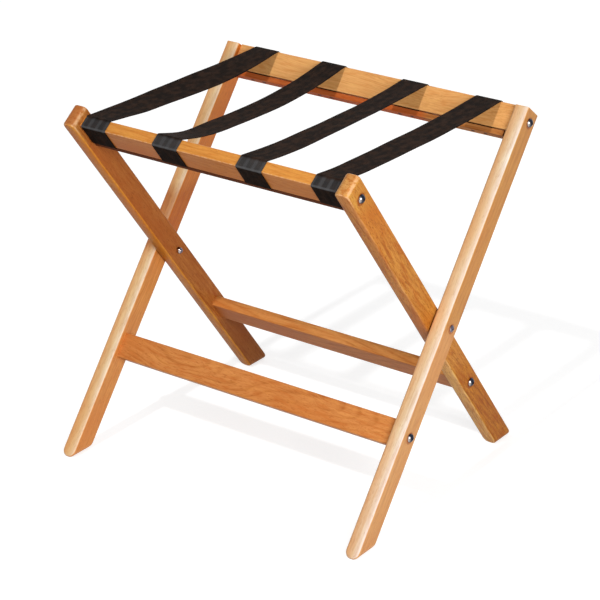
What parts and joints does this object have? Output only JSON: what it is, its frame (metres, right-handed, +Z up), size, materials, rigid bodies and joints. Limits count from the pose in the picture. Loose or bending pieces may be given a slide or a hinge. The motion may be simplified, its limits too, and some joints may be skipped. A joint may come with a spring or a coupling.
{
  "type": "folding luggage bench",
  "caption": "Folding wooden luggage bench: two crossed frames pivoted at their middle, with webbing straps across the top rails.",
  "frame": {"origin": "on the floor, in the middle between the feet and halfway along the pivot", "axes": "+Z up, +X along the pivot to the right leg pair, +Y to the rear rail, which the outer frame carries"},
  "size_m": [0.6114, 0.5088, 0.6154],
  "materials": {
    "oiled_wood": "satin",
    "batten_wood": "satin",
    "dowel_wood": "matte",
    "polished_steel": "polished",
    "zinc_steel": "satin",
    "black_steel": "satin",
    "spacer_plastic": "matte",
    "webbing": "matte"
  },
  "bodies": {
    "outer_frame": {"outer_leg_left": "oiled_wood", "outer_leg_right": "oiled_wood", "rear_rail": "oiled_wood", "front_stretcher": "oiled_wood", "rear_clamp_batten": "batten_wood", "outer_frame_bolts": "polished_steel", "outer_frame_barrel_nuts": "zinc_steel", "outer_frame_dowels": "dowel_wood", "rear_batten_screws": "black_steel", "pivot_bolt_right": "polished_steel", "pivot_bolt_left": "polished_steel", "pivot_spacer_right": "spacer_plastic", "pivot_spacer_left": "spacer_plastic", "pivot_cap_nut_right": "polished_steel", "pivot_cap_nut_left": "polished_steel", "strap_1": "webbing", "strap_2": "webbing", "strap_3": "webbing", "strap_4": "webbing"},
    "inner_frame": {"inner_leg_left": "oiled_wood", "inner_leg_right": "oiled_wood", "front_rail": "oiled_wood", "rear_stretcher": "oiled_wood", "front_clamp_batten": "batten_wood", "inner_frame_bolts": "polished_steel", "inner_frame_barrel_nuts": "zinc_steel", "inner_frame_dowels": "dowel_wood", "front_batten_screws": "black_steel"}
  },
  "joints": [
    {"name": "fold", "type": "hinge", "parent": "outer_frame", "child": "inner_frame", "pos_m": [0, 0, 0.3], "axis": [-1, 0, 0], "range_deg": [0, 64], "deforming": ["strap_1", "strap_2", "strap_3", "strap_4"]}
  ]
}
